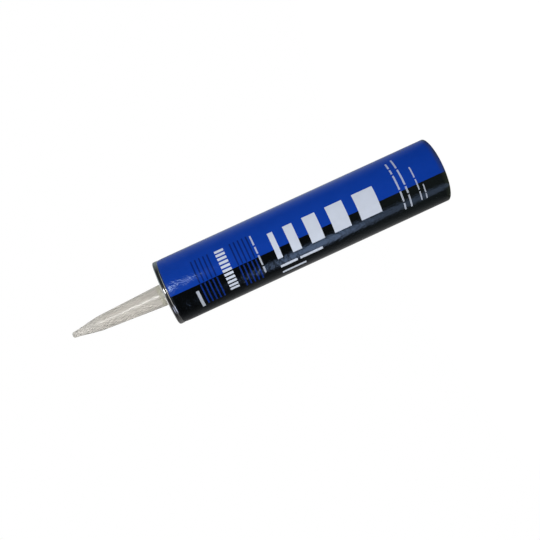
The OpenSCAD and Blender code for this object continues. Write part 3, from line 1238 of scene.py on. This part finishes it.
def makeSurround(s):
    # How bright the room is in a direction, in a mirror and as soft light. Side is 1 towards +X.
    tree, given, out = newGroup("surround", {"Direction": None}, ["Mirrored", "Ambient", "Side"])
    way = addNode(tree, "ShaderNodeVectorMath", {0: given["Direction"]}, operation="NORMALIZE").outputs[0]
    x, y, z = splitVector(way)
    behind = calc("MAXIMUM", y, 0.0)
    side = times(x, s["sideRise"], clamp=True)
    back = timesPlus(side, s["mirrorRight"] - s["mirrorBack"], s["mirrorBack"])
    gain = minus(back, s["mirrorFront"])
    pale = timesPlus(behind, gain, s["mirrorFront"])
    wall = times(z, s["wallRise"], clamp=True)
    pale = times(pale, timesPlus(wall, s["wallLevel"] - 1.0, 1.0))
    above = times(minus(z, s["ceilingFrom"]), s["ceilingRise"], clamp=True)
    ceiling = times(above, s["ceilingLevel"])
    ambient = timesPlus(behind, s["ambientBack"] - s["ambientFront"], s["ambientFront"])
    ambient = timesPlus(calc("MAXIMUM", x, 0.0), s["ambientRight"], ambient)
    ambient = timesPlus(calc("MINIMUM", x, 0.0), -s["ambientLeft"], ambient)
    fillSockets(tree, out, {"Mirrored": calc("MAXIMUM", pale, ceiling), "Ambient": ambient, "Side": side})
    return tree


surround = makeSurround(studio)


def seenRay(ray):
    return calc("MAXIMUM", ray["Is Camera Ray"], ray["Is Transmission Ray"])


def coolTint(factor, s):
    return mixColour(factor, (1.0, 1.0, 1.0), s["coolSide"])


def makeWorld(s):
    # White behind the object for the camera, and the room for every other ray
    world = bpy.data.worlds.new("studio")
    world.use_nodes = True
    bpy.context.scene.world = world
    tree = world.node_tree
    ray = addNode(tree, "ShaderNodeLightPath").outputs
    way = addNode(tree, "ShaderNodeTexCoord").outputs["Generated"]
    room = useGroup(tree, surround, {"Direction": way}).outputs
    shiny = ray["Is Glossy Ray"]
    level = addNode(tree, "ShaderNodeMix", {0: shiny, 2: room["Ambient"], 3: room["Mirrored"]}).outputs[0]
    level = addNode(tree, "ShaderNodeMix", {0: seenRay(ray), 2: level, 3: 1.0}).outputs[0]
    tint = coolTint(times(shiny, room["Side"]), s)
    fillSockets(tree, tree.nodes["Background"], {"Color": brightness(tint, level)})


def shownFloor(tree, radius, s):
    # White, with a share of the lamps' light near the object that shows its shadow
    share = times(fadeMask(radius, s["shadowReach"] / mm), s["shadowShare"])
    level = timesPlus(share, -s["floorLevel"], 1.0)
    pale = addNode(tree, "ShaderNodeEmission", {"Color": level})
    lit = addNode(tree, "ShaderNodeBsdfDiffuse", {"Color": share})
    return addNode(tree, "ShaderNodeAddShader", {0: pale.outputs[0], 1: lit.outputs[0]}).outputs[0]


def windowLight(tree, place, s):
    # Bright within one angle as seen from its corner, and brightest at one distance
    corner = s["windowCorner"]
    off = addNode(tree, "ShaderNodeVectorMath", {0: place, 1: corner}, operation="SUBTRACT").outputs[0]
    x, y = splitVector(off)[:2]
    turn = calc("DEGREES", calc("ARCTAN2", x, times(y, -1.0)))
    half = s["windowWidth"] / 2
    across = stripMask(turn, s["windowTurn"] - half, s["windowTurn"] + half, half)
    far = addNode(tree, "ShaderNodeVectorMath", {0: off}, operation="LENGTH").outputs["Value"]
    steps = calc("LOGARITHM", over(far, s["windowPlace"]), math.e)
    steps = over(steps, s["windowFade"])
    hump = calc("EXPONENT", times(times(steps, steps), -1.0))
    along = timesPlus(hump, s["windowHigh"] - s["windowLow"], s["windowLow"])
    return times(across, along)


def mirroredFloor(tree, place, radius, s):
    # The room, and the window's light in one direction from the tube
    sideways, forwards = s["surface"]
    x, y = splitVector(place)[:2]
    shifted = calc("MAXIMUM", minus(calc("ABSOLUTE", x), sideways), 0.0)
    way = addNode(tree, "ShaderNodeCombineXYZ", {
        0: times(calc("SIGN", x), shifted), 1: plus(y, forwards)}).outputs[0]
    room = useGroup(tree, surround, {"Direction": way}).outputs
    far = over(radius, s["nearReach"] / mm, clamp=True)
    dim = timesPlus(far, 1.0 - s["nearLevel"], s["nearLevel"])
    pale = brightness(coolTint(room["Side"], s), times(room["Mirrored"], dim))
    glow = brightness(s["windowColour"], windowLight(tree, place, s))
    return addNode(tree, "ShaderNodeEmission", {"Color": mixColour(1.0, pale, glow, "ADD")}).outputs[0]


def makeFloor(s):
    half = s["floorSize"] / 2
    corners = [(-half, -half, 0), (half, -half, 0), (half, half, 0), (-half, half, 0)]
    mesh = bpy.data.meshes.new("floor")
    mesh.from_pydata(corners, [], [(0, 1, 2, 3)])
    floor = bpy.data.objects.new("floor", mesh)
    bpy.context.scene.collection.objects.link(floor)
    material, tree, shader = newMaterial("paleFloor")
    fillSockets(tree, shader, {
        "Base Color": s["floorColour"], "Roughness": s["floorRoughness"], "Specular IOR Level": 0.0})
    ray = addNode(tree, "ShaderNodeLightPath").outputs
    radius = useGroup(tree, tubeCoordinates).outputs["Radius"]
    place = addNode(tree, "ShaderNodeNewGeometry").outputs["Position"]
    other = addNode(tree, "ShaderNodeMixShader", {
        0: ray["Is Glossy Ray"], 1: shader.outputs[0], 2: mirroredFloor(tree, place, radius, s)})
    final = addNode(tree, "ShaderNodeMixShader", {
        0: seenRay(ray), 1: other.outputs[0], 2: shownFloor(tree, radius, s)})
    tree.links.new(final.outputs[0], tree.nodes["Material Output"].inputs["Surface"])
    mesh.materials.append(material)


makeWorld(studio)
makeFloor(studio)
for name, values in lamps.items():
    makeLamp(name, values)
bpy.context.scene.view_settings.view_transform = "Standard"
print("studio made")
